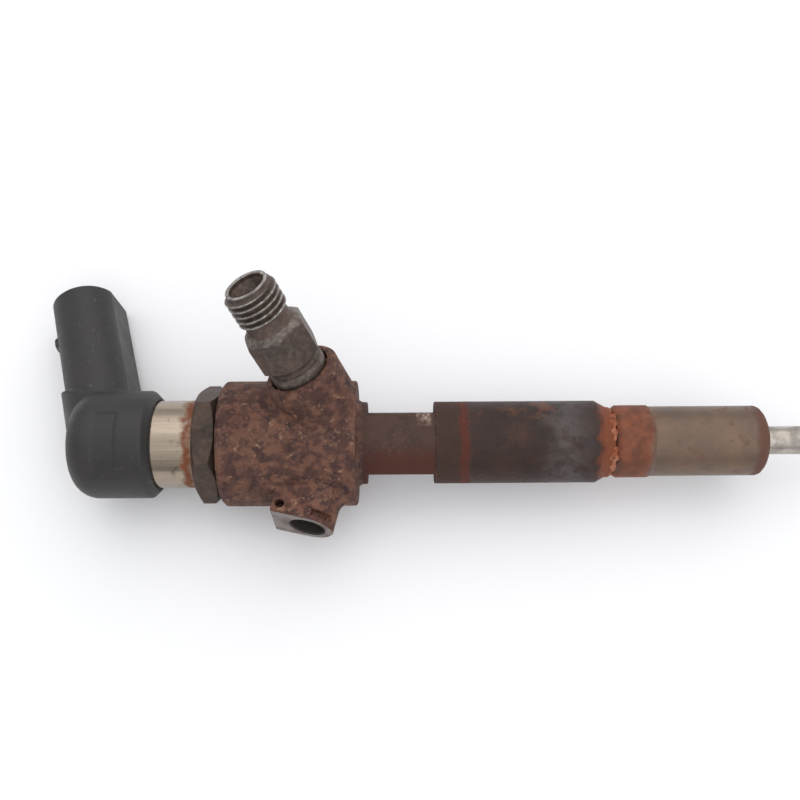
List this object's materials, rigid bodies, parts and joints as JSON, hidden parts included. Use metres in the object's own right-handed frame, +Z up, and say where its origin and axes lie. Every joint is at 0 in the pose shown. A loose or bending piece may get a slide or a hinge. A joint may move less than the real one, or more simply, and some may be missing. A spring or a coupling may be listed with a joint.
{
  "type": "fuel injector",
  "caption": "Common-rail diesel fuel injector: elbow connector, actuator, hex nut, body with fuel inlet, return port and clamp flats, nozzle nut and nozzle.",
  "frame": {"origin": "middle of the bounding box in plan, at the height of the table the injector lies on", "axes": "+X along the injector's axis towards the nozzle tip, +Y towards the side the electrical connector leaves on, +Z up from the table; the injector is rolled 9.6 degrees about its axis, so that its head and its connector both touch the table"},
  "size_m": [0.2002, 0.0658, 0.0568],
  "materials": {
    "connector_plastic": "moulded, matte, faintly dusty",
    "terminal_brass": "plated strip",
    "sleeve_steel": "turned and polished, rust-stained at one end",
    "seal_rubber": "matte",
    "inner_steel": "ground",
    "stack_ceramic": "layered, matte",
    "spring_steel": "spring wire and rolled sheet",
    "nut_steel": "blackened, browned with rust",
    "body_steel": "machined, evenly rusted, pale deposits",
    "ground_steel": "fine ground",
    "nozzle_steel": "ground, lightly sooted",
    "nozzle_nut_steel": "turned, browned and blued by heat",
    "inlet_steel": "phosphated, bright on the thread crests",
    "seal_copper": "annealed copper"
  },
  "bodies": {
    "injector": {"connector_housing": "connector_plastic", "terminal_positive": "terminal_brass", "terminal_negative": "terminal_brass", "actuator_sleeve": "sleeve_steel", "actuator_o_ring": "seal_rubber", "actuator_top_plate": "inner_steel", "piezo_stack": "stack_ceramic", "preload_tube": "spring_steel", "actuator_nut": "nut_steel", "injector_body": "body_steel", "lever_carrier": "inner_steel", "valve_seat_plate": "inner_steel", "valve_spring": "spring_steel", "piston_guide": "ground_steel", "spacer_plate": "inner_steel", "dowel_pin_1": "inner_steel", "dowel_pin_2": "inner_steel", "nozzle_body": "nozzle_steel", "nozzle_spring": "spring_steel", "nozzle_nut": "nozzle_nut_steel", "inlet_connector": "inlet_steel", "inlet_seal_ring": "seal_copper", "edge_filter": "inner_steel"},
    "ram": {"actuator_ram": "inner_steel"},
    "lever_a": {"lever_a": "inner_steel"},
    "lever_b": {"lever_b": "inner_steel"},
    "servo_valve": {"valve_piston": "ground_steel", "mushroom_valve": "ground_steel"},
    "needle": {"control_piston": "ground_steel", "nozzle_needle": "ground_steel", "needle_spring_seat": "inner_steel"}
  },
  "joints": [
    {"name": "actuator_stroke", "type": "slide", "parent": "injector", "child": "ram", "axis": [1, 0, 0], "range_m": [0, 0.00004], "stiffness_N_per_m": 20000, "deforming": ["piezo_stack", "preload_tube"]},
    {"name": "lever_a_tilt", "type": "hinge", "parent": "injector", "child": "lever_a", "pos_m": [-0.03575, -0.00488, 0.01428], "axis": [0, 0.1668, 0.986], "range_deg": [0, 0.82]},
    {"name": "lever_b_tilt", "type": "hinge", "parent": "injector", "child": "lever_b", "pos_m": [-0.03575, -0.01533, 0.01605], "axis": [0, -0.1668, -0.986], "range_deg": [0, 0.82]},
    {"name": "valve_lift", "type": "slide", "parent": "injector", "child": "servo_valve", "axis": [1, 0, 0], "range_m": [0, 0.0000615], "stiffness_N_per_m": 2000, "deforming": ["valve_spring"]},
    {"name": "needle_lift", "type": "slide", "parent": "injector", "child": "needle", "axis": [-1, 0, 0], "range_m": [0, 0.00025], "stiffness_N_per_m": 25000, "springref_m": -0.0012, "deforming": ["nozzle_spring"]}
  ],
  "couplings": [
    {"joint": "lever_a_tilt", "follows": "actuator_stroke", "rad_per_m": 357.14},
    {"joint": "lever_b_tilt", "follows": "actuator_stroke", "rad_per_m": 357.14},
    {"joint": "valve_lift", "follows": "actuator_stroke", "ratio": 1.5357}
  ]
}
